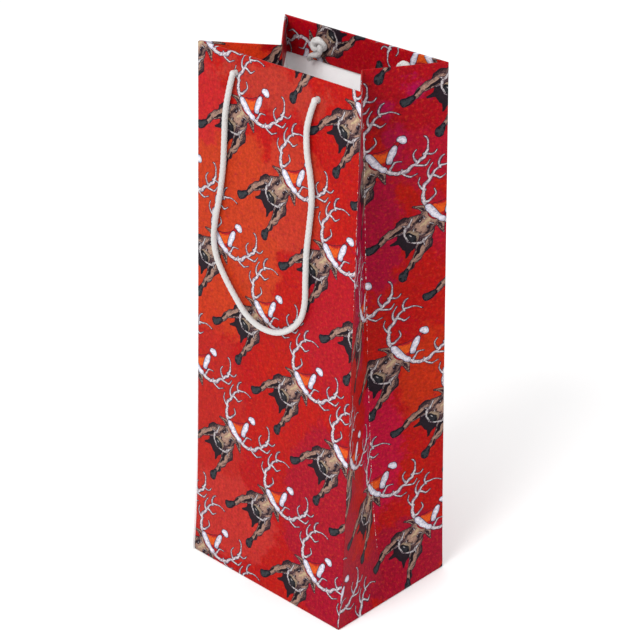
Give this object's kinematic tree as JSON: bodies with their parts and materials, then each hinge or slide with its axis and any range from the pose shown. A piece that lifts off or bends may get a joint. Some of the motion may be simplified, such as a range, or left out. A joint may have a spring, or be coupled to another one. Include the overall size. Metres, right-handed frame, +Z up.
{
  "type": "wine gift bag",
  "caption": "Tall narrow gusseted paper gift bag for one wine bottle, with a flat folded base, a turned-in top hem and two knotted rope handles that swing up.",
  "frame": {"origin": "middle of the rectangular base, on the surface that the bag stands on", "axes": "+Z up to the open mouth, -Y out of the wide front panel that the front handle hangs on, +X out of the right gusset"},
  "size_m": [0.126, 0.094, 0.33],
  "materials": {
    "printed_paper": "satin laminated print, red and orange with a small repeated reindeer motif; white on its inner side",
    "plain_paper": "uncoated white paper",
    "card": "matt off-white board",
    "rope": "white twisted cotton rope"
  },
  "bodies": {
    "bag": {"front_panel": "printed_paper", "back_panel": "printed_paper", "right_gusset_front": "printed_paper", "right_gusset_rear": "printed_paper", "left_gusset_front": "printed_paper", "left_gusset_rear": "printed_paper", "front_hem": "printed_paper", "back_hem": "printed_paper", "right_gusset_front_hem": "printed_paper", "right_gusset_rear_hem": "printed_paper", "left_gusset_front_hem": "printed_paper", "left_gusset_rear_hem": "printed_paper", "front_top_card": "card", "back_top_card": "card", "side_seam_flap": "plain_paper", "base_flap_front": "printed_paper", "base_flap_back": "printed_paper", "base_flap_left": "printed_paper", "base_flap_right": "printed_paper", "base_card": "card", "front_left_knot": "rope", "front_right_knot": "rope", "back_left_knot": "rope", "back_right_knot": "rope"},
    "front_handle": {"front_handle_cord": "rope"},
    "back_handle": {"back_handle_cord": "rope"}
  },
  "joints": [
    {"name": "front_handle_swing", "type": "hinge", "parent": "bag", "child": "front_handle", "pos_m": [0, -0.03394, 0.31858], "axis": [-1, 0, 0], "range_deg": [0, 180]},
    {"name": "back_handle_swing", "type": "hinge", "parent": "bag", "child": "back_handle", "pos_m": [0, 0.04038, 0.31855], "axis": [1, 0, 0], "range_deg": [0, 180]}
  ]
}
